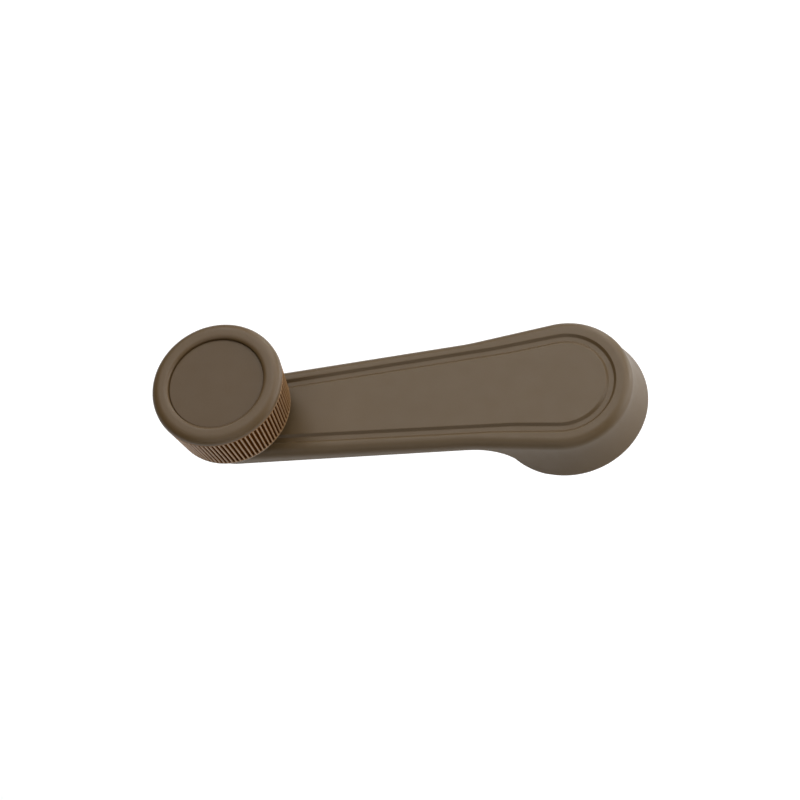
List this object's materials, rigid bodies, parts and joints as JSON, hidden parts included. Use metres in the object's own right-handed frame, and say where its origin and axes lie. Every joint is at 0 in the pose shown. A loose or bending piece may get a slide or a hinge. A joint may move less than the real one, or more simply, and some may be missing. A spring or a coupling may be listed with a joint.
{
  "type": "window crank",
  "caption": "Window crank: tapered moulded arm with a flared splined hub at one end and a free-spinning ribbed round knob at the other.",
  "frame": {"origin": "on the spindle axis, on the face of the door trim that the crank sits against", "axes": "+Z along the spindle axis, away from the door; the arm runs along -X from the hub to the knob; +Y completes the right-handed frame"},
  "size_m": [0.1366, 0.045, 0.0375],
  "materials": {
    "arm_plastic": "satin grained taupe-brown moulding",
    "knob_plastic": "satin taupe-brown moulding",
    "cap_plastic": "fine matt taupe-brown moulding",
    "plated_steel": "zinc plated",
    "spring_steel": "oiled dark spring steel",
    "cast_zinc": "as-cast zinc alloy",
    "nylon": "natural nylon"
  },
  "bodies": {
    "trim_side": {"wear_ring": "nylon"},
    "crank_arm": {"arm_skin": "arm_plastic", "arm_core": "plated_steel", "core_push_nut_1": "spring_steel", "core_push_nut_2": "spring_steel", "spline_socket": "cast_zinc", "socket_rivet_1": "plated_steel", "socket_rivet_2": "plated_steel", "socket_rivet_3": "plated_steel", "retaining_clip": "spring_steel", "knob_pin": "plated_steel", "pin_tail_washer": "plated_steel", "thrust_washer": "nylon", "wave_washer": "spring_steel", "pin_washer": "plated_steel", "pin_retaining_ring": "spring_steel"},
    "knob": {"knob_body": "knob_plastic", "knob_bush": "nylon", "knob_cap": "cap_plastic"}
  },
  "joints": [
    {"name": "crank_turn", "type": "hinge", "parent": "trim_side", "child": "crank_arm", "pos_m": [0, 0, 0], "axis": [0, 0, 1], "continuous": true},
    {"name": "knob_spin", "type": "hinge", "parent": "crank_arm", "child": "knob", "pos_m": [-0.095, 0, 0.02], "axis": [0, 0, 1], "continuous": true}
  ]
}
